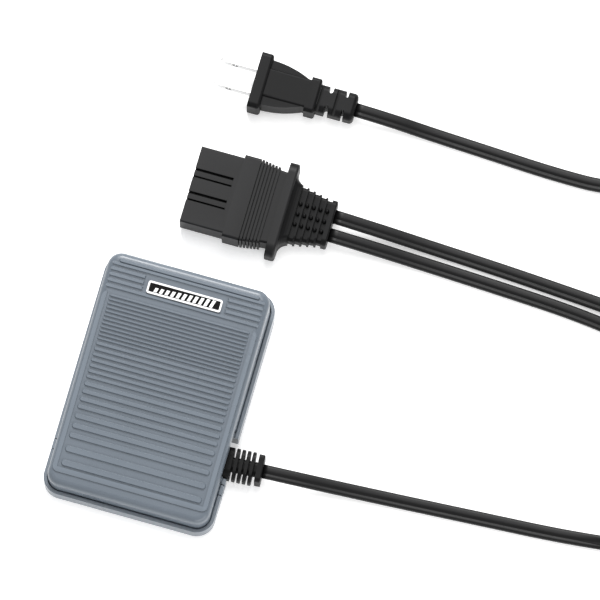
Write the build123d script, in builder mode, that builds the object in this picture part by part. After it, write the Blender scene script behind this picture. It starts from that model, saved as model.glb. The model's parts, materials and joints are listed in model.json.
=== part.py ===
from build123d import *
from math import atan2, cos, pi, radians, sin, tan
import os

# Sewing machine foot control with its mains lead and machine connector.
# Millimetres. +X right (cord side), +Y toward the toe, +Z up.
# The origin is on the floor, below the middle of the pedal.

os.makedirs("parts", exist_ok=True)

# ---------------------------------------------------------------- base tray
base_w = 89.0
base_l = 127.0
base_corner_r = 9.5
foot_h = 1.2
floor_t = 2.0
wall_t = 2.0
rim_heel_z = 10.5
rim_toe_z = 16.0
rim_round = 0.4
floor_z = foot_h + floor_t

# ---------------------------------------------------------------- top cover
side_gap = 0.15
cover_w = base_w - 2 * (wall_t + side_gap)
cover_heel_y = -61.2
cover_toe_y = 60.3
cover_l = cover_toe_y - cover_heel_y
cover_mid_y = (cover_toe_y + cover_heel_y) / 2
cover_corner_r = 7.2
cover_t = 2.2
cover_draft = 0.4
skirt_z = 5.0
skirt_toe_z = 13.6
heel_top_z = 21.0
top_slope = 7.5
top_edge_r = 3.6
top_plane = Plane(
    origin=(0, cover_heel_y, heel_top_z),
    x_dir=(1, 0, 0),
    z_dir=(0, -sin(radians(top_slope)), cos(radians(top_slope))),
)

# ribs on the cover: first rib's lower edge, pitch, rib width, count
rib_h = 0.75
rib_draft = 26.0
rib_half_len = 36.6
rib_rows = [
    (10.0, 7.3, 3.3, 2),
    (24.6, 5.05, 2.8, 3),
    (39.8, 4.0, 2.3, 4),
    (55.8, 2.9, 1.75, 7),
    (76.1, 2.05, 1.25, 12),
]
side_rib_half_len = 39.8
side_rib_first = 102.9
side_rib_pitch = 2.95
side_rib_w = 1.9
side_rib_count = 5
badge_rows = (1, 2, 3)
badge_room_half = 21.6
frame_h = 0.5
frame_inner_half = 38.1
frame_outer_half = 40.3
frame_heel = 6.4
frame_heel_inner = 9.0
frame_toe = 101.2
badge_w = 38.6
badge_l = 6.4
badge_at = 108.5
badge_bar_count = 11
badge_bar_pitch = 2.9
badge_bar_w = 1.6
badge_face_h = 0.9
top_rib_at = 117.6

# ---------------------------------------------------------------- hinge
hinge_y = -39.0
hinge_z = 8.0
pin_r = 1.5
pin_play = 0.05
tab_half = 2.75
tab_slit = 0.5

# ---------------------------------------------------------------- springs
spring_x = 28.0
spring_y = 40.0
spring_r = 5.0
spring_wire_r = 0.6
spring_top_z = 29.5
spring_turns = 6
spring_pitch = (spring_top_z - floor_z - 2 * spring_wire_r) / spring_turns

# ---------------------------------------------------------------- cord and gland
cord_w = 7.2
cord_t = 3.6
gland_y = -24.5
gland_z = 8.5
gland_turn = 3.7
pocket_x = 40.0
pocket_y0 = -33.0
pocket_y1 = -11.5
pocket_wall_z = 15.0
skirt_cut_z = 18.6

# ---------------------------------------------------------------- feet, catches and clamp
foot_r = 5.0
foot_recess = 1.0
foot_places = [(x, y) for x in (-33.0, 33.0) for y in (-51.0, 51.0)]
catch_x = 14.0
catch_w = 8.0
catch_outline = [
    (54.4, floor_z),
    (56.4, floor_z),
    (56.4, 19.0),
    (52.2, 19.0),
    (52.2, 17.4),
    (54.4, 17.4),
]
leg_outline = [
    (48.4, 34.5),
    (48.4, 14.4),
    (53.0, 14.4),
    (53.0, 16.9),
    (50.2, 16.9),
    (50.2, 34.5),
]
ear_in_x = 35.4
clamp_x = 30.0
clamp_w = 6.0
clamp_holes = [(clamp_x, gland_y - 7.6), (clamp_x, gland_y + 7.6)]
tail_x0 = 25.5
gland_in_x = 36.0

# ---------------------------------------------------------------- gland
gland_len = 20.15
gland_core_w = 7.6
gland_core_h = 5.6
first_disc_t = 4.4
disc_t = 1.6
disc_pitch = 2.75
disc_count = 5
disc_w = 16.7
disc_h = 12.2
disc_corner_r = 4.6
end_block_t = 3.0
end_block_w = 14.6
end_block_h = 12.4

# ---------------------------------------------------------------- machine connector
con_x0 = -15.3
con_y = 109.3
con_z = 8.5
con_w = 41.0
con_h = 13.2
con_block_len = 22.6
channel_y = 6.2
channel_w = 5.0
channel_len = 20.2
channel_deep = 0.8
slit_w = 1.2
slit_deep = 3.0
socket_offsets = (-14.4, 0.0, 14.4)
socket_out_r = 2.2
socket_in_r = 1.6
contact_in = 0.8
contact_len = 15.2
collar_w = 44.4
collar_h = 15.0
collar_len = 8.6
rib_x0 = con_x0 + con_block_len + collar_len
ridge_count = 6
ridge_pitch = 1.75
ridge_t = 1.15
ridge_in = 3.2
flange_x0 = 30.4
flange_w = 51.0
flange_h = 17.0
flange_t = 5.0
neck_steps = [(0.0, 7.0), (0.8, 3.6), (1.8, 1.6), (3.0, 0.5), (4.1, 0.0)]
boot_x0 = flange_x0 + flange_t
boot_len = 23.6
boot_w0 = 33.0
boot_h0 = 13.0
boot_w1 = 23.0
boot_h1 = 10.6
boot_groove_x = 4.2
boot_groove_t = 2.6
boot_groove_pitch = 3.5
boot_groove_count = 5
boot_groove_deep = 2.0
boot_notch_deep = 0.5
boot_bump_r = 1.05
boot_bump_rows = (-5.5, 0.0, 5.5)
lead_pitch = 9.9

# ---------------------------------------------------------------- mains plug, two flat blades
plug_x0 = 0.4
plug_y = 171.6
plug_z = 7.7
plug_flange_w = 30.0
plug_flange_h = 15.4
plug_flange_t = 6.4
plug_body_w0 = 24.2
plug_body_wm = 21.8
plug_body_w1 = 13.6
plug_side_h = 11.4
plug_collar_x = plug_x0 + 28.1
plug_collar_w = 18.8
plug_collar_h = 13.4
plug_collar_t = 5.4
panel_w = 15.2
panel_h0 = 13.2
panel_h1 = 12.4
blade_pitch = 12.7
blade_t = 1.5
blade_w = 6.35
blade_out = 20.0
blade_in = 8.0
blade_hole_x = 12.0
blade_hole_r = 1.6
relief_x0 = plug_collar_x + plug_collar_t
relief_len = 19.8
relief_w = 14.8
relief_h = 11.4
relief_notches = [(4.5, 2.2), (13.3, 1.4)]
relief_slots = [(0.4, 1.5), (8.8, 1.6)]

# ---------------------------------------------------------------- coils of cord
turn_step = 3.9
layer_step = 7.4
coil_a_x, coil_a_y = 278.0, 36.0
coil_a_r = 37.0
coil_a_turns = 4.5
coil_b_x, coil_b_y = 256.0, 146.0
coil_b_r = 40.5
coil_b_turns = 5.5

# ---------------------------------------------------------------- board
board_z = 6.2
board_t = 1.6
board_w = 62.0
board_l = 44.0
board_y = 9.0
board_top = board_z + board_t
board_hole_x = 27.0
board_holes = [(x, y) for x in (-board_hole_x, board_hole_x) for y in (-9.0, 27.0)]
screw_r = 1.2

sink_x = -29.0
sink_y = 12.0
choke_x = 16.0
choke_y = 17.0
choke_r = 6.0
choke_wire_r = 2.4
block_x = 19.0
block_y = -8.4
pot_x = 6.0

# ---------------------------------------------------------------- potentiometer lever
lever_y = -8.0
lever_z = 13.9
lever_len = 13.0
lever_rise = 2.1
lever_tip_r = 1.6
shaft_r = 2.0
arm_z = lever_z + lever_rise + lever_tip_r + 0.35


def save(piece, name):
    """Label one finished piece and write its STEP file."""
    piece.part.label = name
    export_step(piece.part, f"parts/{name}.step")


def cover_form(inset, drop):
    """Closed body of the cover, moved in by inset and its top lowered by drop."""
    with BuildPart() as form:
        with BuildSketch(Plane.XY.offset(skirt_z)):
            with Locations((0, cover_mid_y)):
                RectangleRounded(cover_w - 2 * inset, cover_l - 2 * inset, cover_corner_r - inset)
        extrude(amount=40, taper=cover_draft)
        split(bisect_by=top_plane.offset(-drop), keep=Keep.BOTTOM)
        fillet(form.faces().sort_by(Axis.Z)[-1].edges(), top_edge_r - inset)
    return form.part


def rib_positions():
    """Distance of each main rib's lower edge up the slope, and its width."""
    return [(first + i * pitch, width) for first, pitch, width, count in rib_rows for i in range(count)]


# ================================================================= base tray
with BuildPart() as base_tray:
    with BuildSketch(Plane.XY.offset(foot_h)):
        RectangleRounded(base_w, base_l, base_corner_r)
    extrude(amount=rim_toe_z - foot_h)
    chamfer(base_tray.faces().sort_by(Axis.Z)[0].edges(), 0.8)
    with BuildSketch(Plane.XY.offset(floor_z)):
        RectangleRounded(base_w - 2 * wall_t, base_l - 2 * wall_t, base_corner_r - wall_t)
    extrude(amount=rim_toe_z, mode=Mode.SUBTRACT)
    rim_slope = atan2(rim_toe_z - rim_heel_z, base_l)
    rim_plane = Plane(
        origin=(0, -base_l / 2, rim_heel_z), x_dir=(1, 0, 0), z_dir=(0, -sin(rim_slope), cos(rim_slope))
    )
    split(bisect_by=rim_plane, keep=Keep.BOTTOM)
    fillet(base_tray.faces().sort_by(Axis.Z)[-1].edges(), rim_round)
    # pocket in the right side for the cord gland, with its own set-back wall
    with BuildSketch(Plane.XY.offset(floor_z)):
        with Locations((pocket_x - wall_t, pocket_y0 - wall_t)):
            Rectangle(
                base_w / 2 - wall_t - pocket_x + wall_t,
                pocket_y1 - pocket_y0 + 2 * wall_t,
                align=(Align.MIN, Align.MIN),
            )
    extrude(amount=pocket_wall_z - floor_z)
    with BuildSketch(Plane.XY):
        with Locations((pocket_x, pocket_y0)):
            Rectangle(10, pocket_y1 - pocket_y0, align=(Align.MIN, Align.MIN))
    extrude(amount=30, mode=Mode.SUBTRACT)
    with BuildSketch(Plane.YZ.offset(pocket_x - wall_t - 1)):
        with Locations((gland_y, gland_z)):
            SlotCenterToCenter(0.01, 8.0)
        with Locations((gland_y, gland_z + 5)):
            Rectangle(8.0, 10.0)
    extrude(amount=wall_t + 2, mode=Mode.SUBTRACT)
    # slits that free a springy tab round each hinge hole
    with BuildSketch(Plane.YZ):
        with Locations((hinge_y - tab_half, 10.5), (hinge_y + tab_half, 10.5)):
            Rectangle(tab_slit, 11.0)
    extrude(amount=60, both=True, mode=Mode.SUBTRACT)
    with Locations(Plane.YZ.offset(base_w / 2) * Location((hinge_y, hinge_z, 0))):
        Cylinder(pin_r + pin_play, 2 * base_w, mode=Mode.SUBTRACT)
    # board standoffs
    with BuildSketch(Plane.XY.offset(floor_z)):
        with Locations(board_holes):
            Circle(3.0)
    extrude(amount=board_z - floor_z)
    # spring posts
    with BuildSketch(Plane.XY.offset(floor_z)):
        with Locations((-spring_x, spring_y), (spring_x, spring_y)):
            Circle(3.4)
    extrude(amount=6.0)
    # catches that hold the cover's two legs down at rest
    for x in (-catch_x, catch_x):
        with BuildSketch(Plane.YZ.offset(x - catch_w / 2)):
            Polygon(*catch_outline, align=None)
        extrude(amount=catch_w)
    # cord saddle with two screw bosses
    with BuildSketch(Plane.XY.offset(floor_z)):
        with Locations((clamp_x, gland_y)):
            Rectangle(clamp_w, 22.0)
    extrude(amount=gland_z - cord_t / 2 - floor_z)
    with BuildSketch(Plane.XY.offset(floor_z)):
        with Locations(clamp_holes):
            Circle(2.7)
    extrude(amount=gland_z + cord_t / 2 - floor_z)
    # pilot holes for the board and clamp screws
    with BuildSketch(Plane.XY.offset(floor_z + 0.5)):
        with Locations(board_holes + clamp_holes):
            Circle(screw_r)
    extrude(amount=20, mode=Mode.SUBTRACT)
    # recesses for the feet
    with BuildSketch(Plane.XY.offset(foot_h)):
        with Locations(foot_places):
            Circle(foot_r)
    extrude(amount=foot_recess, mode=Mode.SUBTRACT)
save(base_tray, "base_tray")

with BuildPart() as rubber_feet:
    with BuildSketch(Plane.XY):
        with Locations(foot_places):
            Circle(foot_r)
    extrude(amount=foot_h + foot_recess)
    fillet(rubber_feet.faces().group_by(Axis.Z)[0].edges(), 0.5)
save(rubber_feet, "rubber_feet")

# ================================================================= top cover
cover_outer = cover_form(0, 0)
cover_inner = cover_form(cover_t, cover_t)
skirt_rise = atan2(skirt_toe_z - skirt_z, cover_toe_y - hinge_y)

with BuildPart() as top_cover:
    add(cover_outer)
    # raised frame round the ribs, open at the toe
    with BuildSketch(top_plane):
        with Locations((0, (frame_heel + frame_toe) / 2)):
            RectangleRounded(2 * frame_outer_half, frame_toe - frame_heel, 3.0)
        with Locations((0, frame_heel_inner)):
            Rectangle(2 * frame_inner_half, frame_toe, align=(Align.CENTER, Align.MIN), mode=Mode.SUBTRACT)
    extrude(amount=frame_h)
    # ribs
    with BuildSketch(top_plane):
        for at, width in rib_positions():
            with Locations((0, at + width / 2)):
                SlotOverall(2 * rib_half_len, width)
    extrude(amount=rib_h, taper=rib_draft)
    # longer ribs at the toe that run out to the edges, cut away round the badge
    with BuildSketch(top_plane):
        for row in range(side_rib_count):
            with Locations((0, side_rib_first + row * side_rib_pitch + side_rib_w / 2)):
                SlotOverall(2 * side_rib_half_len, side_rib_w)
        for row in badge_rows:
            with Locations((0, side_rib_first + row * side_rib_pitch + side_rib_w / 2)):
                SlotOverall(2 * badge_room_half, side_rib_w + 0.2, mode=Mode.SUBTRACT)
        with Locations((0, top_rib_at)):
            SlotOverall(2 * rib_half_len, side_rib_w)
    extrude(amount=rib_h, taper=rib_draft)
    add(cover_inner, mode=Mode.SUBTRACT)
    # lower edge of the skirt rises toward the toe, so that the toe can go down
    with BuildSketch(Plane.YZ):
        Polygon(
            (hinge_y, skirt_z),
            (hinge_y, 0),
            (80, 0),
            (80, skirt_z + (80 - hinge_y) * tan(skirt_rise)),
            align=None,
        )
    extrude(amount=base_w, both=True, mode=Mode.SUBTRACT)
    # room in the right skirt for the gland's pocket
    with BuildSketch(Plane.XY):
        with Locations((pocket_x - 5, pocket_y0 - 3)):
            Rectangle(20, pocket_y1 - pocket_y0 + 6, align=(Align.MIN, Align.MIN))
    extrude(amount=skirt_cut_z, mode=Mode.SUBTRACT)
    # hinge ears, spring seats and pegs, stop legs
    for side in (-1, 1):
        with BuildSketch(Plane.YZ.offset(side * ear_in_x)):
            with Locations((hinge_y, hinge_z)):
                Circle(3.8)
        extrude(amount=side * (cover_w / 2 - 1 - ear_in_x))
    with BuildSketch(Plane.XY.offset(spring_top_z)):
        with Locations((-spring_x, spring_y), (spring_x, spring_y)):
            Circle(6.6)
    extrude(amount=3.0)
    with BuildSketch(Plane.XY.offset(spring_top_z - 4.5)):
        with Locations((-spring_x, spring_y), (spring_x, spring_y)):
            Circle(3.4)
    extrude(amount=5.0)
    for x in (-catch_x, catch_x):
        with BuildSketch(Plane.YZ.offset(x - catch_w / 2)):
            Polygon(*leg_outline, align=None)
        extrude(amount=catch_w)
    with BuildSketch(Plane.YZ):
        with Locations((hinge_y, hinge_z)):
            Circle(pin_r)
    extrude(amount=base_w, both=True, mode=Mode.SUBTRACT)
save(top_cover, "top_cover")

with BuildPart() as hinge_pins:
    for side in (-1, 1):
        with BuildSketch(Plane.YZ.offset(side * ear_in_x)):
            with Locations((hinge_y, hinge_z)):
                Circle(pin_r)
        extrude(amount=side * (base_w / 2 - 0.3 - ear_in_x))
save(hinge_pins, "hinge_pins")

# ================================================================= badge
with BuildPart() as badge_plate:
    with BuildSketch(top_plane):
        with Locations((0, badge_at)):
            RectangleRounded(badge_w - 1.8, badge_l - 1.8, 0.5)
    extrude(amount=badge_face_h)
save(badge_plate, "badge_plate")

with BuildPart() as badge_rim:
    with BuildSketch(top_plane):
        with Locations((0, badge_at)):
            RectangleRounded(badge_w, badge_l, 1.1)
            RectangleRounded(badge_w - 1.8, badge_l - 1.8, 0.5, mode=Mode.SUBTRACT)
    extrude(amount=1.2)
save(badge_rim, "badge_rim")

# slanted bars that grow toward the right, as a plain sign of rising speed
with BuildPart() as badge_bars:
    with BuildSketch(top_plane.offset(badge_face_h)):
        for i in range(badge_bar_count):
            height = 2.2 + 1.7 * i / (badge_bar_count - 1)
            left = -badge_w / 2 + 3.5 + i * badge_bar_pitch
            low = badge_at - badge_l / 2 + 1.25
            lean = 0.3 * height
            Polygon(
                (left, low),
                (left + badge_bar_w, low),
                (left + badge_bar_w + lean, low + height),
                (left + lean, low + height),
                align=None,
            )
    extrude(amount=0.25)
save(badge_bars, "badge_bars")

# ================================================================= return springs
with BuildPart() as return_springs:
    for x in (-spring_x, spring_x):
        low = Plane(origin=(x, spring_y, floor_z + spring_wire_r))
        with BuildLine(low) as coil_line:
            Helix(pitch=spring_pitch, height=spring_turns * spring_pitch, radius=spring_r)
        with BuildSketch(Plane(origin=coil_line.wire() @ 0, z_dir=coil_line.wire() % 0)):
            Circle(spring_wire_r)
        sweep(path=coil_line.wire(), is_frenet=True)
save(return_springs, "return_springs")

# ================================================================= board and its parts
with BuildPart() as circuit_board:
    with BuildSketch(Plane.XY.offset(board_z)):
        with Locations((0, board_y)):
            RectangleRounded(board_w, board_l, 2.0)
        with Locations(board_holes):
            Circle(screw_r + 0.3, mode=Mode.SUBTRACT)
    extrude(amount=board_t)
save(circuit_board, "circuit_board")


def pan_screws(places, seat_z, tip_z):
    """A group of pan-head screws with their heads on seat_z."""
    with BuildPart() as screws:
        with BuildSketch(Plane.XY.offset(tip_z)):
            with Locations(places):
                Circle(screw_r)
        extrude(amount=seat_z - tip_z)
        with BuildSketch(Plane.XY.offset(seat_z)):
            with Locations(places):
                Circle(2.3)
        extrude(amount=1.4)
        fillet(screws.faces().group_by(Axis.Z)[-1].edges(), 0.5)
        with BuildSketch(Plane.XY.offset(seat_z + 0.8)):
            with Locations(places):
                Rectangle(2.6, 0.6)
                Rectangle(0.6, 2.6)
        extrude(amount=1.0, mode=Mode.SUBTRACT)
    return screws


save(pan_screws(board_holes, board_top, floor_z + 0.8), "board_screws")

with BuildPart() as heat_sink:
    with BuildSketch(Plane.YZ.offset(sink_x)):
        with BuildLine():
            Polyline(
                (sink_y, board_top),
                (sink_y + 6.0, board_top),
                (sink_y + 6.0, board_top + 1.5),
                (sink_y + 1.5, board_top + 1.5),
                (sink_y + 1.5, board_top + 12.5),
                (sink_y, board_top + 12.5),
                close=True,
            )
        make_face()
    extrude(amount=22.0)
save(heat_sink, "heat_sink")

with BuildPart() as triac:
    with BuildSketch(Plane.XZ.offset(-sink_y)):
        with Locations((sink_x + 11, board_top + 7.6)):
            Rectangle(10.0, 8.6)
    extrude(amount=4.4)
    with BuildSketch(Plane.XY.offset(board_top)):
        with Locations([(sink_x + 11 + dx, sink_y - 2.0) for dx in (-2.54, 0, 2.54)]):
            Rectangle(0.8, 0.5)
    extrude(amount=4.0)
save(triac, "triac")

with BuildPart() as choke_coil:
    with BuildSketch(Plane.XZ.offset(-choke_y)):
        with Locations((choke_x + choke_r, board_top + choke_wire_r)):
            Circle(choke_wire_r)
    revolve(axis=Axis((choke_x, choke_y, 0), (0, 0, 1)))
save(choke_coil, "choke_coil")

with BuildPart() as capacitors:
    with BuildSketch(Plane.XY.offset(board_top)):
        with Locations((-17.0, 2.0), (-17.0, -6.0)):
            RectangleRounded(13.0, 5.6, 0.8)
    extrude(amount=9.0)
    fillet(capacitors.faces().group_by(Axis.Z)[-1].edges(), 0.7)
save(capacitors, "capacitors")

with BuildPart() as resistors:
    for y in (19.0, 23.0, 27.0):
        with BuildSketch(Plane.YZ.offset(-4.0)):
            with Locations((y, board_top + 2.2)):
                Circle(1.2)
        extrude(amount=7.0)
        with BuildSketch(Plane.YZ.offset(-5.4)):
            with Locations((y, board_top + 2.2)):
                Circle(0.35)
        extrude(amount=9.8)
        with BuildSketch(Plane.XY.offset(board_top)):
            with Locations((-5.4, y), (4.4, y)):
                Circle(0.35)
        extrude(amount=2.2)
save(resistors, "resistors")

with BuildPart() as terminal_block:
    with BuildSketch(Plane.XY.offset(board_top)):
        with Locations((block_x, block_y)):
            Rectangle(10.0, 7.6)
    extrude(amount=8.0)
    chamfer(terminal_block.faces().sort_by(Axis.Z)[-1].edges(), 0.6)
    with BuildSketch(Plane.XZ.offset(-(block_y - 3.8))):
        with Locations((block_x - 2.5, board_top + 3.6), (block_x + 2.5, board_top + 3.6)):
            Circle(1.3)
    extrude(amount=-3.0, mode=Mode.SUBTRACT)
save(terminal_block, "terminal_block")

with BuildPart() as potentiometer:
    with BuildSketch(Plane.YZ.offset(pot_x)):
        with Locations((lever_y, lever_z)):
            Circle(6.0)
        with Locations((lever_y, board_top)):
            Rectangle(8.0, lever_z - board_top, align=(Align.CENTER, Align.MIN))
        with Locations((lever_y, lever_z)):
            Circle(shaft_r + pin_play, mode=Mode.SUBTRACT)
    extrude(amount=6.0)
save(potentiometer, "potentiometer")

# ================================================================= lever worked by the cover
with BuildPart() as wiper_shaft:
    with BuildSketch(Plane.YZ.offset(-3.0)):
        with Locations((lever_y, lever_z)):
            Circle(shaft_r)
    extrude(amount=pot_x + 6.0 + 3.0)
    chamfer(wiper_shaft.edges(), 0.3)
save(wiper_shaft, "wiper_shaft")

lever_angle = atan2(lever_rise, lever_len)
lever_plane = Plane(
    origin=(-2.0, lever_y, lever_z), x_dir=(0, cos(lever_angle), sin(lever_angle)), z_dir=(1, 0, 0)
)
with BuildPart() as wiper_lever:
    with BuildSketch(lever_plane):
        Circle(4.2)
        with Locations((lever_len / 2, 0)):
            Rectangle(lever_len, 3.2)
        with Locations((lever_len, 0)):
            Circle(lever_tip_r)
        Circle(shaft_r, mode=Mode.SUBTRACT)
    extrude(amount=5.0)
save(wiper_lever, "wiper_lever")

arm_y = lever_y + lever_len
with BuildPart() as actuator_arm:
    with BuildSketch(Plane.YZ.offset(-3.0)):
        with Locations((arm_y, arm_z + 2.0)):
            Circle(2.0)
            Rectangle(4.0, 14.0, align=(Align.CENTER, Align.MIN))
    extrude(amount=7.0)
    split(bisect_by=top_plane.offset(-cover_t), keep=Keep.BOTTOM)
save(actuator_arm, "actuator_arm")

# ================================================================= cord inside the pedal
with BuildPart() as cord_tail:
    with BuildSketch(Plane.YZ.offset(tail_x0)):
        with Locations((gland_y, gland_z)):
            SlotOverall(cord_w, cord_t)
    extrude(amount=gland_in_x - tail_x0)
save(cord_tail, "cord_tail")

with BuildPart() as cord_clamp:
    with BuildSketch(Plane.XY.offset(gland_z + cord_t / 2)):
        with Locations((clamp_x, gland_y)):
            RectangleRounded(clamp_w, 22.0, 1.0)
        with Locations(clamp_holes):
            Circle(screw_r + 0.2, mode=Mode.SUBTRACT)
    extrude(amount=2.0)
save(cord_clamp, "cord_clamp")
save(pan_screws(clamp_holes, gland_z + cord_t / 2 + 2.0, floor_z + 0.8), "clamp_screws")

with BuildPart() as lead_wires:
    for side in (-1, 1):
        start = (tail_x0, gland_y + side * 1.8, gland_z)
        across = block_x + side * 2.5
        end = (across, block_y - 3.8, board_top + 3.6)
        with BuildLine() as wire_line:
            bends = [(across, start[1], gland_z), (across, end[1] - 5.0, end[2])]
            FilletPolyline(start, *bends, end, radius=1.8)
        with BuildSketch(Plane(origin=wire_line.wire() @ 0, z_dir=wire_line.wire() % 0)):
            Circle(0.8)
        sweep(path=wire_line.wire())
save(lead_wires, "lead_wires")

# ================================================================= gland
gland_axis = Plane(
    origin=(pocket_x + 0.6, gland_y, gland_z),
    x_dir=(-sin(radians(gland_turn)), cos(radians(gland_turn)), 0),
    z_dir=(cos(radians(gland_turn)), sin(radians(gland_turn)), 0),
)
with BuildPart() as cord_gland:
    # neck through the tray wall, with the flange that holds it inside
    with BuildSketch(Plane.YZ.offset(gland_in_x)):
        with Locations((gland_y, gland_z)):
            SlotOverall(14.0, 10.0)
    extrude(amount=pocket_x - wall_t - gland_in_x)
    with BuildSketch(Plane.YZ.offset(pocket_x - wall_t)):
        with Locations((gland_y, gland_z)):
            Circle(3.9)
    extrude(amount=wall_t + 1.0)
    # core, discs and end block
    with BuildSketch(gland_axis):
        RectangleRounded(gland_core_w, gland_core_h, 2.4)
    extrude(amount=gland_len)
    with BuildSketch(gland_axis):
        RectangleRounded(disc_w, disc_h, disc_corner_r)
    extrude(amount=first_disc_t)
    for i in range(1, disc_count):
        with BuildSketch(gland_axis.offset(first_disc_t + i * disc_pitch - disc_t)):
            RectangleRounded(disc_w, disc_h, disc_corner_r)
        extrude(amount=disc_t)
    with BuildSketch(gland_axis.offset(gland_len - end_block_t)):
        RectangleRounded(end_block_w, end_block_h, 2.0)
    extrude(amount=end_block_t)
    fillet(cord_gland.faces().sort_by(Axis.X)[-1].edges(), 0.5)
save(cord_gland, "cord_gland")

# ================================================================= machine connector
with BuildPart() as connector_block:
    with BuildSketch(Plane.YZ.offset(con_x0)):
        with Locations((con_y, con_z)):
            RectangleRounded(con_w, con_h, 0.8)
    extrude(amount=con_block_len)
    # two channels that leave three fingers
    for side in (-1, 1):
        middle = con_y + side * channel_y
        edges = [(con_x0, middle + edge * (channel_w - slit_w) / 2) for edge in (-1, 1)]
        for up in (-1, 1):
            with BuildSketch(Plane.XY.offset(con_z + up * (con_h / 2 - channel_deep))):
                with Locations((con_x0, middle)):
                    Rectangle(channel_len, channel_w, align=(Align.MIN, Align.CENTER))
            extrude(amount=up * (channel_deep + 1), mode=Mode.SUBTRACT)
            with BuildSketch(Plane.XY.offset(con_z + up * (con_h / 2 - slit_deep))):
                with Locations(edges):
                    Rectangle(channel_len, slit_w, align=(Align.MIN, Align.CENTER))
            extrude(amount=up * (slit_deep + 1), mode=Mode.SUBTRACT)
    with BuildSketch(Plane.YZ.offset(con_x0)):
        with Locations([(con_y + dy, con_z) for dy in socket_offsets]):
            Circle(socket_out_r)
    extrude(amount=con_block_len, mode=Mode.SUBTRACT)
save(connector_block, "connector_block")

with BuildPart() as socket_contacts:
    with BuildSketch(Plane.YZ.offset(con_x0 + contact_in)):
        with Locations([(con_y + dy, con_z) for dy in socket_offsets]):
            Circle(socket_out_r)
            Circle(socket_in_r, mode=Mode.SUBTRACT)
    extrude(amount=contact_len)
save(socket_contacts, "socket_contacts")

with BuildPart() as connector_shell:
    with BuildSketch(Plane.YZ.offset(con_x0 + con_block_len)):
        with Locations((con_y, con_z)):
            RectangleRounded(collar_w, collar_h, 1.4)
    extrude(amount=collar_len)
    with BuildSketch(Plane.YZ.offset(rib_x0)):
        with Locations((con_y, con_z)):
            RectangleRounded(collar_w - ridge_in, collar_h - ridge_in, 1.2)
    with BuildSketch(Plane.YZ.offset(flange_x0)):
        with Locations((con_y, con_z)):
            RectangleRounded(collar_w - 5.6, collar_h - 2.6, 1.2)
    loft()
    # fine ridges round the tapering band
    for i in range(ridge_count):
        along = (i + 0.5) * ridge_pitch / (flange_x0 - rib_x0)
        ridge_w = collar_w - 4.3 * along
        ridge_h = collar_h - 1.3 * along
        with BuildSketch(Plane.YZ.offset(rib_x0 + 0.5 + i * ridge_pitch)):
            with Locations((con_y, con_z)):
                RectangleRounded(ridge_w, ridge_h, 1.2)
        extrude(amount=ridge_t)
    with BuildSketch(Plane.YZ.offset(flange_x0)):
        with Locations((con_y, con_z)):
            RectangleRounded(flange_w, flange_h, 6.0)
    extrude(amount=flange_t)
    fillet(connector_shell.faces().sort_by(Axis.X)[-1].edges(), 1.2)
save(connector_shell, "connector_shell")


def boot_size(at):
    """Width and height of the boot at a distance from the flange."""
    part_way = at / boot_len
    return boot_w0 + (boot_w1 - boot_w0) * part_way, boot_h0 + (boot_h1 - boot_h0) * part_way


with BuildPart() as connector_boot:
    # hollow sweep from the flange into the boot
    for at, wider in neck_steps:
        width, height = boot_size(at)
        with BuildSketch(Plane.YZ.offset(boot_x0 + at)):
            with Locations((con_y, con_z)):
                RectangleRounded(width + wider, height + wider / 3, 3.6)
    loft(ruled=True)
    for at in (neck_steps[-1][0], boot_len):
        width, height = boot_size(at)
        with BuildSketch(Plane.YZ.offset(boot_x0 + at)):
            with Locations((con_y, con_z)):
                RectangleRounded(width, height, 3.2)
    loft()
    # grooves all round that leave thin ribs, with small bumps standing in them
    for i in range(boot_groove_count):
        at = boot_groove_x + i * boot_groove_pitch
        width, height = boot_size(at + boot_groove_t)
        with BuildSketch(Plane.YZ.offset(boot_x0 + at)):
            with Locations((con_y, con_z)):
                RectangleRounded(width + 8, height + 8, 2.0)
                RectangleRounded(
                    width - 2 * boot_notch_deep, height - 2 * boot_groove_deep, 1.8, mode=Mode.SUBTRACT
                )
        extrude(amount=boot_groove_t, mode=Mode.SUBTRACT)
        bump_x = boot_x0 + at + boot_groove_t / 2
        bump_z = height / 2 - 1.25
        for row in boot_bump_rows:
            with Locations((bump_x, con_y + row, con_z - bump_z), (bump_x, con_y + row, con_z + bump_z)):
                Sphere(boot_bump_r)
    width, height = boot_size(boot_len)
    with BuildSketch(Plane.YZ.offset(boot_x0 + boot_len - 2.8)):
        with Locations((con_y, con_z)):
            RectangleRounded(width + 1.6, height + 1.2, 3.2)
    extrude(amount=2.8)
    fillet(connector_boot.faces().sort_by(Axis.X)[-1].edges(), 0.8)
save(connector_boot, "connector_boot")

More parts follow.
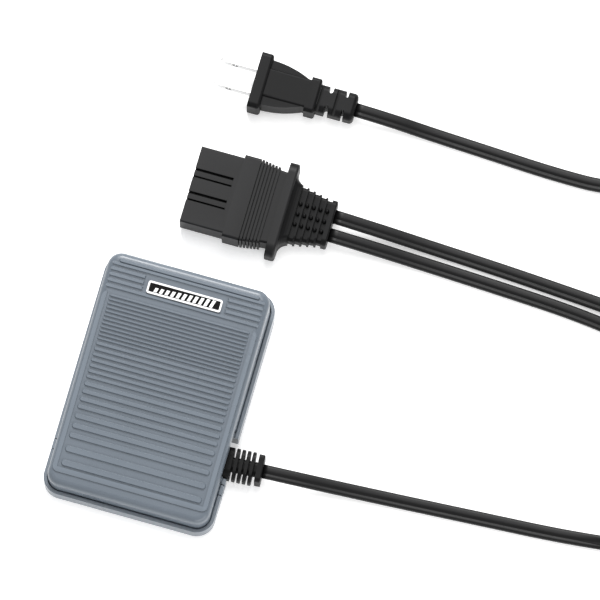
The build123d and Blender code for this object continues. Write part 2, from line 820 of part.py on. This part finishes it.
# ================================================================= mains plug
with BuildPart() as plug_body:
    with BuildSketch(Plane.YZ.offset(plug_x0)):
        with Locations((plug_y, plug_z)):
            RectangleRounded(plug_flange_w, plug_flange_h, 2.5)
    extrude(amount=plug_flange_t)
    fillet(plug_body.faces().sort_by(Axis.X)[-1].edges(), 1.5)
    # sides swell out of the flange and close in on the collar
    with BuildSketch(Plane.XY.offset(plug_z)):
        with BuildLine():
            for side in (-1, 1):
                ThreePointArc(
                    (plug_x0 + 4.0, plug_y + side * plug_body_w0 / 2),
                    (plug_x0 + 16.5, plug_y + side * plug_body_wm / 2),
                    (plug_collar_x, plug_y + side * plug_body_w1 / 2),
                )
            Line((plug_x0 + 4.0, plug_y - plug_body_w0 / 2), (plug_x0 + 4.0, plug_y + plug_body_w0 / 2))
            Line((plug_collar_x, plug_y - plug_body_w1 / 2), (plug_collar_x, plug_y + plug_body_w1 / 2))
        make_face()
    extrude(amount=plug_side_h / 2, both=True)
    # raised flat panel above and below
    with BuildSketch(Plane.YZ.offset(plug_x0 + 4.0)):
        with Locations((plug_y, plug_z)):
            RectangleRounded(panel_w, panel_h0, 1.0)
    with BuildSketch(Plane.YZ.offset(plug_collar_x + 0.5)):
        with Locations((plug_y, plug_z)):
            RectangleRounded(panel_w, panel_h1, 1.0)
    loft()
    with BuildSketch(Plane.YZ.offset(plug_collar_x)):
        with Locations((plug_y, plug_z)):
            RectangleRounded(plug_collar_w, plug_collar_h, 2.0)
    extrude(amount=plug_collar_t)
    fillet(plug_body.faces().sort_by(Axis.X)[-1].edges(), 1.2)
    for side in (-1, 1):
        with BuildSketch(Plane.YZ.offset(plug_x0)):
            with Locations((plug_y + side * blade_pitch / 2, plug_z)):
                Rectangle(blade_t, blade_w)
        extrude(amount=blade_in, mode=Mode.SUBTRACT)
save(plug_body, "plug_body")

with BuildPart() as plug_blades:
    for side in (-1, 1):
        with BuildSketch(Plane.XZ.offset(-(plug_y + side * blade_pitch / 2 + blade_t / 2))):
            Polygon(
                (plug_x0 + blade_in, plug_z - blade_w / 2),
                (plug_x0 + blade_in, plug_z + blade_w / 2),
                (plug_x0 - blade_out + 1.6, plug_z + blade_w / 2),
                (plug_x0 - blade_out, plug_z + blade_w / 2 - 1.6),
                (plug_x0 - blade_out, plug_z - blade_w / 2 + 1.6),
                (plug_x0 - blade_out + 1.6, plug_z - blade_w / 2),
                align=None,
            )
            with Locations((plug_x0 - blade_hole_x, plug_z)):
                Circle(blade_hole_r, mode=Mode.SUBTRACT)
        extrude(amount=blade_t)
    chamfer(plug_blades.faces().group_by(Axis.X)[0].edges().filter_by(Axis.Z), 0.45)
save(plug_blades, "plug_blades")

with BuildPart() as plug_relief:
    with BuildSketch(Plane.YZ.offset(relief_x0)):
        with Locations((plug_y, plug_z)):
            RectangleRounded(relief_w, relief_h, 3.6)
    extrude(amount=relief_len)
    fillet(plug_relief.faces().sort_by(Axis.X)[-1].edges(), 2.0)
    # notches in the sides, and slots above and below that fall between them
    for at, wide in relief_notches:
        for side in (-1, 1):
            with BuildSketch(Plane.XY):
                with Locations((relief_x0 + at + wide / 2, plug_y + side * relief_w / 2)):
                    SlotOverall(8.0, wide, rotation=90)
            extrude(amount=30, mode=Mode.SUBTRACT)
    for at, wide in relief_slots:
        for side in (-1, 1):
            with BuildSketch(Plane.XZ):
                with Locations((relief_x0 + at + wide / 2, plug_z + side * relief_h / 2)):
                    Rectangle(wide, 5.0)
            extrude(amount=-300, mode=Mode.SUBTRACT)
save(plug_relief, "plug_relief")

# ================================================================= cords and their coils
def coil_reach(turns):
    """How far the outermost and innermost turns lie from the middle one."""
    return turns * turn_step / 4


def coil_ring(x, y, radius, turns, name):
    """Closed outer shape of a two-layer coil, wound inward below and outward above."""
    reach = coil_reach(turns)
    with BuildPart() as ring:
        with BuildSketch(Plane(origin=(x, y, 0), x_dir=(1, 0, 0), z_dir=(0, -1, 0))):
            with Locations((radius, layer_step)):
                RectangleRounded(2 * reach + cord_t, 2 * layer_step, 1.6)
        revolve(axis=Axis((x, y, 0), (0, 0, 1)))
    save(ring, name)


def cord_tube(points, name):
    """Flat cord along straight runs joined by arcs as large as the runs allow."""
    corners = [Vector(*p) for p in points]
    radii = []
    for before, here, after in zip(corners, corners[1:], corners[2:]):
        run_in = here - before
        run_out = after - here
        turn = radians(run_in.get_angle(run_out))
        radii.append(0.45 * min(run_in.length, run_out.length) / tan(turn / 2))
    with BuildPart() as tube:
        with BuildLine() as route:
            FilletPolyline(*points, radius=radii)
        path = route.wire()
        with BuildSketch(Plane(origin=path @ 0, x_dir=(path % 0).cross(Vector(0, 0, 1)), z_dir=path % 0)):
            SlotOverall(cord_w, cord_t)
        sweep(path=path)
    section = (cord_w - cord_t) * cord_t + pi * cord_t**2 / 4
    fullness = tube.part.volume / section / path.length
    print(f"{name}: length {path.length:.1f}, volume / (section x length) {fullness:.3f}")
    print("  arc radii", [round(r) for r in radii])
    save(tube, name)
    return path.length


coil_a_out = coil_a_r + coil_reach(coil_a_turns)
coil_b_out = coil_b_r + coil_reach(coil_b_turns)
lower_z = cord_w / 2
upper_z = cord_w / 2 + layer_step
floor_cord_z = cord_t / 2

# from the pedal's gland to the coil
gland_end = gland_axis.origin + gland_axis.z_dir * gland_len
cord_a_near = [
    (gland_end.X, gland_end.Y, gland_z),
    (76.0, -22.3, 7.9),
    (98.0, -20.3, 4.4),
    (130.0, -17.9, 2.1),
    (172.0, -15.2, floor_cord_z),
    (214.0, -12.6, floor_cord_z),
    (246.0, -9.2, 3.4),
    (coil_a_x - 6.0, coil_a_y - coil_a_out, lower_z),
]
# from the coil to the machine connector
cord_a_far = [
    (coil_a_x - 6.0, coil_a_y + coil_a_out, upper_z),
    (258.0, 80.2, 9.0),
    (238.0, 88.5, 4.6),
    (216.0, 97.4, floor_cord_z),
    (186.0, 101.0, floor_cord_z),
    (146.0, 103.0, floor_cord_z),
    (108.0, 104.4, 2.4),
    (80.0, 104.4, 6.4),
    (boot_x0 + boot_len, con_y - lead_pitch / 2, con_z),
]
# from the machine connector to the second coil
cord_b_near = [
    (boot_x0 + boot_len, con_y + lead_pitch / 2, con_z),
    (80.0, 114.1, 6.4),
    (108.0, 113.8, 2.4),
    (146.0, 112.2, floor_cord_z),
    (186.0, 109.7, floor_cord_z),
    (220.0, 106.9, 3.2),
    (coil_b_x - 6.0, coil_b_y - coil_b_out, lower_z),
]
# from the second coil to the plug
cord_b_far = [
    (coil_b_x - 6.0, coil_b_y + coil_b_out, upper_z),
    (232.0, 189.0, 9.0),
    (212.0, 178.4, 4.6),
    (190.0, 168.6, floor_cord_z),
    (160.0, 168.2, floor_cord_z),
    (124.0, 170.0, floor_cord_z),
    (92.0, 171.3, 2.4),
    (72.0, 171.6, 6.2),
    (relief_x0 + relief_len, plug_y, plug_z),
]
coil_ring(coil_a_x, coil_a_y, coil_a_r, coil_a_turns, "coil_a")
coil_ring(coil_b_x, coil_b_y, coil_b_r, coil_b_turns, "coil_b")
length_a = cord_tube(cord_a_near, "cord_a_near") + cord_tube(cord_a_far, "cord_a_far")
length_b = cord_tube(cord_b_near, "cord_b_near") + cord_tube(cord_b_far, "cord_b_far")
print("cord a", round(length_a + 2 * pi * coil_a_r * coil_a_turns + 12))
print("cord b", round(length_b + 2 * pi * coil_b_r * coil_b_turns + 12))
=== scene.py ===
import json
import math
import bmesh
import bpy
from mathutils import Matrix, Vector


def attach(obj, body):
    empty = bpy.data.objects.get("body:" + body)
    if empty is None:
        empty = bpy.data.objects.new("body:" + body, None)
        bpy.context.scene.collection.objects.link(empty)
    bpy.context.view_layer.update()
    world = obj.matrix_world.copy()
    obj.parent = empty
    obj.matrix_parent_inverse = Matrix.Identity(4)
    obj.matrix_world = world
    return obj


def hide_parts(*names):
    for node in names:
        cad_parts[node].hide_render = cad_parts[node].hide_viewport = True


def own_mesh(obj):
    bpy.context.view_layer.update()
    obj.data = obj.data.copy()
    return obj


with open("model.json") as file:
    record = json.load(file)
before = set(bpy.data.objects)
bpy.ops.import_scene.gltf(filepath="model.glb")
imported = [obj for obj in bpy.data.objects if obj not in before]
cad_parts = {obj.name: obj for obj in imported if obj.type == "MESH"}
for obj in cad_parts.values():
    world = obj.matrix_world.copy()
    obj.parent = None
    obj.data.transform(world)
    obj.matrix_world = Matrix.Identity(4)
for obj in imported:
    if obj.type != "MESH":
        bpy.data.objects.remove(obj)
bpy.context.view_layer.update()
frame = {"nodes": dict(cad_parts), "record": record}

MM = 0.001

# ------------------------------------------------------------------ camera
VIEW_TURN = math.radians(16.0)
VIEW_TILT = math.radians(75.0)
VIEW_TARGET = Vector((53.5, 69.7, 0.0)) * MM
VIEW_DISTANCE = 4.5
VIEW_LENS = 534.0


def make_camera():
    """Long-lens camera high above the pedal, looking steeply down at it, the connector and the plug."""
    right = Vector((math.cos(VIEW_TURN), math.sin(VIEW_TURN), 0))
    level = Vector((-math.sin(VIEW_TURN), math.cos(VIEW_TURN), 0))
    look = level * math.cos(VIEW_TILT) + Vector((0, 0, -math.sin(VIEW_TILT)))
    up = right.cross(look)
    camera = bpy.data.objects.new("camera", bpy.data.cameras.new("camera"))
    camera.data.lens = VIEW_LENS
    camera.data.sensor_width = 36.0
    camera.data.clip_start = 0.05
    camera.data.clip_end = 20.0
    turn = Matrix((right, up, -look)).transposed().to_4x4()
    camera.matrix_world = Matrix.Translation(VIEW_TARGET - look * VIEW_DISTANCE) @ turn
    bpy.context.scene.collection.objects.link(camera)
    bpy.context.scene.camera = camera


make_camera()

# ------------------------------------------------------------------ cord routes, in millimetres
# each cord is flat: laid on its wide side where it runs free, and on edge round its coil
CORD_W = 7.2
CORD_T = 3.6
TURN_STEP = 3.9
LAYER_STEP = 7.4
COIL_POINTS = 16
CLIMB_TURNS = 0.7
COIL_LEAD = 6.0
FLOOR_CORD_Z = CORD_T / 2

COIL_A = dict(x=278.0, y=36.0, radius=37.0, turns=4.5)
COIL_B = dict(x=256.0, y=146.0, radius=40.5, turns=5.5)

GLAND_END = Vector((60.708, -23.2, 8.5))
BOOT_END_X = 59.0
RELIEF_END_X = 53.7
CON_Y = 109.3
LEAD_PITCH = 9.9
PLUG_Y = 171.6
PLUG_Z = 7.7
CON_Z = 8.5


def coil_out(coil):
    """Radius of a coil's outermost turn."""
    return coil["radius"] + coil["turns"] * TURN_STEP / 4


def coil_points(coil):
    """Turns wound inward along the floor, then outward on top of them."""
    half_turns = coil["turns"] / 2
    steps = int(coil["turns"] * COIL_POINTS)
    points = []
    for i in range(1, steps):
        turned = i / COIL_POINTS
        inward = abs(turned - half_turns)
        radius = coil["radius"] + (inward - half_turns / 2) * TURN_STEP
        climb = min(1.0, max(0.0, (turned - half_turns + CLIMB_TURNS / 2) / CLIMB_TURNS))
        angle = 2 * math.pi * turned - math.pi / 2
        points.append((
            coil["x"] + radius * math.cos(angle),
            coil["y"] + radius * math.sin(angle),
            CORD_W / 2 + LAYER_STEP * climb,
        ))
    return points


CORD_A_NEAR = [
    tuple(GLAND_END),
    (76.0, -22.3, 7.9),
    (98.0, -20.3, 4.4),
    (130.0, -17.9, 2.1),
    (172.0, -15.2, FLOOR_CORD_Z),
    (214.0, -12.6, FLOOR_CORD_Z),
    (246.0, -9.2, 3.4),
    (COIL_A["x"] - COIL_LEAD, COIL_A["y"] - coil_out(COIL_A), CORD_W / 2),
]
CORD_A_FAR = [
    (COIL_A["x"] - COIL_LEAD, COIL_A["y"] + coil_out(COIL_A), CORD_W / 2 + LAYER_STEP),
    (258.0, 80.2, 9.0),
    (238.0, 88.5, 4.6),
    (216.0, 97.4, FLOOR_CORD_Z),
    (186.0, 101.0, FLOOR_CORD_Z),
    (146.0, 103.0, FLOOR_CORD_Z),
    (108.0, 104.4, 2.4),
    (80.0, 104.4, 6.4),
    (BOOT_END_X, CON_Y - LEAD_PITCH / 2, CON_Z),
]
CORD_B_NEAR = [
    (BOOT_END_X, CON_Y + LEAD_PITCH / 2, CON_Z),
    (80.0, 114.1, 6.4),
    (108.0, 113.8, 2.4),
    (146.0, 112.2, FLOOR_CORD_Z),
    (186.0, 109.7, FLOOR_CORD_Z),
    (220.0, 106.9, 3.2),
    (COIL_B["x"] - COIL_LEAD, COIL_B["y"] - coil_out(COIL_B), CORD_W / 2),
]
CORD_B_FAR = [
    (COIL_B["x"] - COIL_LEAD, COIL_B["y"] + coil_out(COIL_B), CORD_W / 2 + LAYER_STEP),
    (232.0, 189.0, 9.0),
    (212.0, 178.4, 4.6),
    (190.0, 168.6, FLOOR_CORD_Z),
    (160.0, 168.2, FLOOR_CORD_Z),
    (124.0, 170.0, FLOOR_CORD_Z),
    (92.0, 171.3, 2.4),
    (72.0, 171.6, 6.2),
    (RELIEF_END_X, PLUG_Y, PLUG_Z),
]


# ------------------------------------------------------------------ mesh helpers
# the cord's section: its groove lies off the middle, and the narrow core is a little thinner
GROOVE_AT = -1.15
GROOVE_ANGLE = math.radians(38.0)
LOBE_LAP = 0.06
LOBE_ROUNDNESS = 0.72
NARROW_T = CORD_T - 0.5
# length in metres over which the cord turns from flat to on edge
ROLL_LENGTH = 0.055
# the coils' ties, in millimetres
TIE_WIDTH = 3.2
TIE_T = 0.5
TIE_SLACK = 0.1
TIE_CORNER = 1.6
TIE_FLOOR_GAP = 0.05
TIE_WINDOW = 0.12


def mesh_object(name, vertices, faces, smooth=True):
    """A new object from vertices in metres and faces."""
    mesh = bpy.data.meshes.new(name)
    mesh.from_pydata([tuple(v) for v in vertices], [], faces)
    mesh.validate()
    bm = bmesh.new()
    bm.from_mesh(mesh)
    bmesh.ops.recalc_face_normals(bm, faces=bm.faces)
    bm.to_mesh(mesh)
    bm.free()
    for polygon in mesh.polygons:
        polygon.use_smooth = smooth
    thing = bpy.data.objects.new(name, mesh)
    bpy.context.scene.collection.objects.link(thing)
    return thing


def spline_line(name, points):
    """Points along the smooth NURBS line of a route given in millimetres."""
    curve = bpy.data.curves.new(name, "CURVE")
    curve.dimensions = "3D"
    curve.resolution_u = 10
    spline = curve.splines.new("NURBS")
    spline.points.add(len(points) - 1)
    for slot, point in zip(spline.points, points):
        slot.co = (*(Vector(point) * MM), 1.0)
    spline.order_u = 3
    spline.use_endpoint_u = True
    carrier = bpy.data.objects.new(name, curve)
    bpy.context.scene.collection.objects.link(carrier)
    bpy.context.view_layer.update()
    mesh = bpy.data.meshes.new_from_object(carrier.evaluated_get(bpy.context.evaluated_depsgraph_get()))
    line = [v.co.copy() for v in mesh.vertices]
    bpy.data.objects.remove(carrier)
    bpy.data.meshes.remove(mesh)
    return line


def flattened(value):
    """A sine or cosine bent so that a circle becomes a rounded box."""
    return math.copysign(abs(value) ** LOBE_ROUNDNESS, value)


def lobe(centre, half_w, half_t, start, end, count):
    """Points of part of a rounded lobe of the cord's section."""
    points = []
    for i in range(count + 1):
        angle = start + (end - start) * i / count
        across = centre + half_w * flattened(math.cos(angle))
        height = half_t * flattened(math.sin(angle))
        points.append((across * MM, height * MM))
    return points


def cord_section():
    """Flat section with a wide core and a narrow core and a groove between them."""
    wide_half = (CORD_W / 2 - GROOVE_AT) / 2
    narrow_half = (CORD_W / 2 + GROOVE_AT) / 2
    wide_middle = GROOVE_AT + wide_half - LOBE_LAP
    narrow_middle = GROOVE_AT - narrow_half + LOBE_LAP
    turn = math.pi - GROOVE_ANGLE
    wide = lobe(wide_middle, wide_half + LOBE_LAP, CORD_T / 2, -turn, turn, 18)
    narrow = lobe(narrow_middle, narrow_half + LOBE_LAP, NARROW_T / 2, GROOVE_ANGLE, math.pi + turn, 12)
    return wide + narrow


def ease(share):
    """Smooth step from 0 to 1."""
    share = min(1.0, max(0.0, share))
    return share * share * (3 - 2 * share)


def roll_along(line, lead_in, lead_out):
    """Roll of the flat section: flat, on edge round the coil, then flat again the other way up."""
    lengths = [0.0]
    for a, b in zip(line, line[1:]):
        lengths.append(lengths[-1] + (b - a).length)
    total = lengths[-1]
    rolls = []
    for at in lengths:
        rise = ease((at - lead_in + ROLL_LENGTH) / ROLL_LENGTH)
        fall = ease((at - (total - lead_out)) / ROLL_LENGTH)
        rolls.append(math.pi / 2 * (rise + fall))
    return rolls


def flat_cord(name, line, rolls):
    """Sweep of the flat section along a line, closed at both ends."""
    section = cord_section()
    vertices = []
    for i, point in enumerate(line):
        ahead = line[min(i + 1, len(line) - 1)]
        behind = line[max(i - 1, 0)]
        tangent = (ahead - behind).normalized()
        left = Vector((0, 0, 1)).cross(tangent).normalized()
        up = tangent.cross(left)
        side = left * math.cos(rolls[i]) + up * math.sin(rolls[i])
        over = tangent.cross(side)
        lowest = point.z + min(side.z * a + over.z * b for a, b in section)
        lifted = point + Vector((0, 0, max(0.0, -lowest)))
        vertices.extend(lifted + side * a + over * b for a, b in section)
    size = len(section)
    faces = []
    for i in range(len(line) - 1):
        for j in range(size):
            k = (j + 1) % size
            faces.append((i * size + j, i * size + k, (i + 1) * size + k, (i + 1) * size + j))
    faces.append(tuple(reversed(range(size))))
    faces.append(tuple(range((len(line) - 1) * size, len(line) * size)))
    return mesh_object(name, vertices, faces)


def run_length(points):
    """Rough length in metres of a route in millimetres."""
    return sum((Vector(b) - Vector(a)).length for a, b in zip(points, points[1:])) * MM


def coil_tie(name, coil, line, angle):
    """A flat band that ties a coil at one place, drawn tight round the turns there."""
    out = Vector((math.cos(angle), math.sin(angle), 0))
    along = Vector((-math.sin(angle), math.cos(angle), 0))
    middle = Vector((coil["x"], coil["y"], 0))
    radii = []
    tops = []
    for point in line:
        arm = Vector((point.x / MM, point.y / MM, 0)) - middle
        if arm.angle(out) < TIE_WINDOW:
            radii.append(arm.length)
            tops.append(point.z / MM)
    reach = (max(radii) - min(radii) + CORD_T) / 2 + TIE_SLACK
    height = max(tops) + CORD_W / 2 + TIE_SLACK
    centre = middle + out * (max(radii) + min(radii)) / 2
    outline = []
    for corner_x, corner_z, first in (
        (reach, height, 0),
        (-reach, height, 90),
        (-reach, 0.0, 180),
        (reach, 0.0, 270),
    ):
        inner_x = corner_x - math.copysign(TIE_CORNER, corner_x)
        inner_z = corner_z - TIE_CORNER if corner_z else TIE_CORNER
        for k in range(5):
            turned = math.radians(first + 22.5 * k)
            outline.append((inner_x, inner_z, math.cos(turned), math.sin(turned)))
    vertices = []
    for inner_x, inner_z, level, rise in outline:
        for across, radius in (
            (-TIE_WIDTH / 2, TIE_CORNER),
            (TIE_WIDTH / 2, TIE_CORNER),
            (TIE_WIDTH / 2, TIE_CORNER + TIE_T),
            (-TIE_WIDTH / 2, TIE_CORNER + TIE_T),
        ):
            spot = centre + out * (inner_x + level * radius) + along * across
            spot.z = max(TIE_FLOOR_GAP, inner_z + rise * radius)
            vertices.append(spot * MM)
    count = len(outline)
    faces = []
    for i in range(count):
        n = (i + 1) % count
        for j in range(4):
            k = (j + 1) % 4
            faces.append((i * 4 + j, i * 4 + k, n * 4 + k, n * 4 + j))
    return mesh_object(name, vertices, faces, smooth=False)


def make_cord(name, near, coil, far, nodes):
    """One whole cord with its coil: its mesh and the line that it follows."""
    route = near + coil_points(coil) + far
    line = spline_line(name + "_line", route)
    rolls = roll_along(line, run_length(near), run_length(far))
    cord = flat_cord(name, line, rolls)
    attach(cord, "base")
    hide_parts(*nodes)
    return cord, line


cord_a, line_a = make_cord(
    "cord_a", CORD_A_NEAR, COIL_A, CORD_A_FAR, ("cord_a_near", "coil_a", "cord_a_far")
)
cord_b, line_b = make_cord(
    "cord_b", CORD_B_NEAR, COIL_B, CORD_B_FAR, ("cord_b_near", "coil_b", "cord_b_far")
)
tie_a = coil_tie("tie_a", COIL_A, line_a, math.radians(20.0))
tie_b = coil_tie("tie_b", COIL_B, line_b, math.radians(-15.0))
for tie in (tie_a, tie_b):
    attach(tie, "base")


# ------------------------------------------------------------------ materials
class Nodes:
    """Small helper that adds and links shader nodes of one material."""

    def __init__(self, name):
        self.material = bpy.data.materials.new(name)
        self.material.use_nodes = True
        self.tree = self.material.node_tree
        self.shader = self.tree.nodes["Principled BSDF"]
        self.place = self.add("ShaderNodeTexCoord").outputs["Object"]

    def add(self, kind, **settings):
        """A new node with some of its properties set."""
        node = self.tree.nodes.new(kind)
        for key, value in settings.items():
            setattr(node, key, value)
        return node

    def link(self, source, target):
        """A link from one socket to another."""
        self.tree.links.new(source, target)

    def noise(self, scale, detail=3.0, stretch=None):
        """Noise in the object's own space, squeezed along its axes where stretch is given."""
        place = self.place
        if stretch:
            mapping = self.add("ShaderNodeMapping")
            mapping.inputs["Scale"].default_value = stretch
            self.link(place, mapping.inputs["Vector"])
            place = mapping.outputs["Vector"]
        node = self.add("ShaderNodeTexNoise")
        node.inputs["Scale"].default_value = scale
        node.inputs["Detail"].default_value = detail
        node.inputs["Roughness"].default_value = 0.55
        self.link(place, node.inputs["Vector"])
        return node.outputs["Fac"]

    def ramp(self, source, low, high, start, end):
        """A colour that goes from start to end as source goes from low to high."""
        node = self.add("ShaderNodeValToRGB")
        node.color_ramp.elements[0].position = low
        node.color_ramp.elements[1].position = high
        node.color_ramp.elements[0].color = (*start, 1.0)
        node.color_ramp.elements[1].color = (*end, 1.0)
        self.link(source, node.inputs["Fac"])
        return node.outputs["Color"]

    def spread(self, source, low, high):
        """A value from 0 to 1 spread between low and high."""
        node = self.add("ShaderNodeMapRange")
        node.inputs["To Min"].default_value = low
        node.inputs["To Max"].default_value = high
        self.link(source, node.inputs["Value"])
        return node.outputs["Result"]

    def mix(self, factor, one, two):
        """One colour mixed with another; each input is a value, a colour or a socket."""
        node = self.add("ShaderNodeMix", data_type="RGBA")
        for name, value in (("Factor", factor), ("A", one), ("B", two)):
            socket = node.inputs[name]
            if isinstance(value, float):
                socket.default_value = value
            elif isinstance(value, tuple):
                socket.default_value = (*value, 1.0)
            else:
                self.link(value, socket)
        return node.outputs["Result"]

    def bump(self, source, strength, distance):
        """Fine relief on the shader's normal; distance is in metres."""
        node = self.add("ShaderNodeBump")
        node.inputs["Strength"].default_value = strength
        node.inputs["Distance"].default_value = distance
        self.link(source, node.inputs["Height"])
        self.link(node.outputs["Normal"], self.shader.inputs["Normal"])


def shade(colour, factor):
    """A colour made lighter or darker."""
    return tuple(min(1.0, c * factor) for c in colour)


def moulded(name, colour, rough, mottle=0.12, grain=0.25, edge_highlight=1.25, specular=0.45):
    """Moulded plastic or rubber: soft mottling, fine spark-eroded grain and convex edges made paler as a
    painted highlight.
    """
    m = Nodes(name)
    cloud = m.noise(38.0, 4.0)
    base = m.ramp(cloud, 0.3, 0.7, shade(colour, 1 - mottle), shade(colour, 1 + mottle))
    fine = m.noise(2600.0, 2.0)
    base = m.mix(0.35, base, m.ramp(fine, 0.35, 0.65, shade(colour, 0.85), shade(colour, 1.15)))
    # painted highlight: edges that pointiness finds convex are painted paler, standing in for light
    # caught on rounded edges
    edge = m.add("ShaderNodeNewGeometry").outputs["Pointiness"]
    highlight_mask = m.ramp(edge, 0.5, 0.62, (0.0,) * 3, (0.6,) * 3)
    base = m.mix(highlight_mask, base, shade(colour, edge_highlight))
    m.link(base, m.shader.inputs["Base Color"])
    m.link(m.spread(cloud, rough - 0.06, rough + 0.08), m.shader.inputs["Roughness"])
    m.shader.inputs["Specular IOR Level"].default_value = specular
    m.bump(fine, grain, 0.00004)
    return m.material


def metal(name, colour, rough):
    """Plated or brushed metal with fine drawn lines and faint clouding."""
    m = Nodes(name)
    lines = m.noise(220.0, 4.0, stretch=(1.0, 1.0, 40.0))
    cloud = m.noise(60.0, 3.0)
    base = m.ramp(cloud, 0.3, 0.7, shade(colour, 0.9), shade(colour, 1.06))
    m.link(base, m.shader.inputs["Base Color"])
    m.link(m.spread(lines, rough * 0.7, rough * 1.4), m.shader.inputs["Roughness"])
    m.shader.inputs["Metallic"].default_value = 1.0
    m.bump(lines, 0.12, 0.00005)
    return m.material


GREY = (0.108, 0.128, 0.152)
JET = (0.0035, 0.0035, 0.0037)
# in each moulded paint, the edge factor sets how much paler the painted highlight on convex edges is
paints = {
    "grey_plastic": moulded("grey_plastic", GREY, 0.28, mottle=0.05, grain=0.12, edge_highlight=1.35, specular=0.4),
    "foot_rubber": moulded("foot_rubber", (0.02, 0.02, 0.02), 0.75),
    "steel": metal("steel", (0.62, 0.62, 0.62), 0.3),
    "badge_black": moulded("badge_black", (0.003, 0.003, 0.003), 0.3, grain=0.05, specular=0.08),
    "badge_white": moulded("badge_white", (0.82, 0.82, 0.82), 0.3, mottle=0.02, grain=0.05, edge_highlight=1.05),
    "board": moulded("board", (0.22, 0.12, 0.045), 0.5),
    "aluminium": metal("aluminium", (0.75, 0.75, 0.76), 0.35),
    "component_black": moulded("component_black", (0.02, 0.02, 0.02), 0.5),
    "copper_wire": metal("copper_wire", (0.7, 0.32, 0.15), 0.35),
    "component_yellow": moulded("component_yellow", (0.6, 0.36, 0.05), 0.35),
    "component_tan": moulded("component_tan", (0.45, 0.34, 0.2), 0.5),
    "component_white": moulded("component_white", (0.7, 0.7, 0.66), 0.5),
    "wire_sleeve": moulded("wire_sleeve", (0.04, 0.04, 0.04), 0.4),
    "cord_sheath": moulded("cord_sheath", JET, 0.42, grain=0.06, edge_highlight=1.5, specular=0.2),
    "black_rubber": moulded("black_rubber", JET, 0.42, mottle=0.3, grain=0.3, edge_highlight=2.2, specular=0.1),
    "black_moulding": moulded(
        "black_moulding", (0.0075, 0.0075, 0.0079), 0.46, mottle=0.32, grain=0.4, edge_highlight=1.9, specular=0.16
    ),
    "brass_contact": metal("brass_contact", (0.75, 0.55, 0.25), 0.3),
    "nickel": metal("nickel", (0.5, 0.5, 0.5), 0.2),
}
slots = {part["node"]: part["material_slot"] for part in frame["record"]["subparts"]}
for node, thing in frame["nodes"].items():
    thing.data.materials.clear()
    thing.data.materials.append(paints[slots[node]])

# ------------------------------------------------------------------ return springs
# the real springs are squeezed between the tray and the cover as the cover tilts; here they are an
# unchanged copy of the CAD springs, with a mesh of their own and carried with the base
cad_springs = frame["nodes"]["return_springs"]
springs = bpy.data.objects.new("springs", cad_springs.data.copy())
springs.matrix_world = cad_springs.matrix_world.copy()
bpy.context.scene.collection.objects.link(springs)
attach(springs, "base")
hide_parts("return_springs")
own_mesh(springs)

# ------------------------------------------------------------------ rounded edges
# how far each moulding's sharp edges are rounded, in millimetres
EDGE_ROUND = {
    "base_tray": 0.25,
    "top_cover": 0.16,
    "badge_rim": 0.2,
    "cord_gland": 0.4,
    "connector_block": 0.35,
    "connector_shell": 0.18,
    "connector_boot": 0.3,
    "plug_body": 0.45,
    "plug_relief": 0.5,
    "plug_blades": 0.15,
}
for node, width in EDGE_ROUND.items():
    softened = frame["nodes"][node].modifiers.new("edge_round", "BEVEL")
    softened.width = width * MM
    softened.segments = 2
    softened.limit_method = "ANGLE"
    softened.angle_limit = math.radians(35.0)
for thing in (cord_a, cord_b):
    thing.data.materials.append(paints["cord_sheath"])
for thing in (tie_a, tie_b):
    thing.data.materials.append(paints["black_rubber"])


# ------------------------------------------------------------------ floor and light
def make_floor():
    """Plain pale floor under everything."""
    half = 2.5
    corners = [(-half, -half, 0), (half, -half, 0), (half, half, 0), (-half, half, 0)]
    floor = mesh_object("floor", corners, [(0, 1, 2, 3)], smooth=False)
    m = Nodes("floor")
    cloud = m.ramp(m.noise(3.0), 0.3, 0.7, (0.86, 0.86, 0.86), (0.88, 0.88, 0.88))
    m.link(cloud, m.shader.inputs["Base Color"])
    m.shader.inputs["Roughness"].default_value = 0.8
    m.shader.inputs["Emission Color"].default_value = (1.0, 1.0, 1.0, 1.0)
    m.shader.inputs["Emission Strength"].default_value = 0.42
    floor.data.materials.append(m.material)


def soft_light(name, place, size, power):
    """An area light that points at the middle of the picture."""
    light = bpy.data.lights.new(name, "AREA")
    light.shape = "RECTANGLE"
    light.size = size[0]
    light.size_y = size[1]
    light.energy = power
    thing = bpy.data.objects.new(name, light)
    thing.location = place
    thing.rotation_euler = (VIEW_TARGET - Vector(place)).to_track_quat("-Z", "Y").to_euler()
    bpy.context.scene.collection.objects.link(thing)


make_floor()
soft_light("key", (-0.30, 1.29, 1.27), (0.8, 0.8), 38.0)
soft_light("heel_strip", (0.95, -1.05, 0.55), (1.8, 0.25), 12.0)
soft_light("overhead", (-0.05, 0.55, 1.9), (0.8, 0.8), 11.0)
world = bpy.data.worlds.new("world")
world.use_nodes = True
world.node_tree.nodes["Background"].inputs["Color"].default_value = (1.0, 1.0, 1.0, 1.0)
world.node_tree.nodes["Background"].inputs["Strength"].default_value = 0.62
bpy.context.scene.world = world
bpy.context.scene.view_settings.view_transform = "Standard"
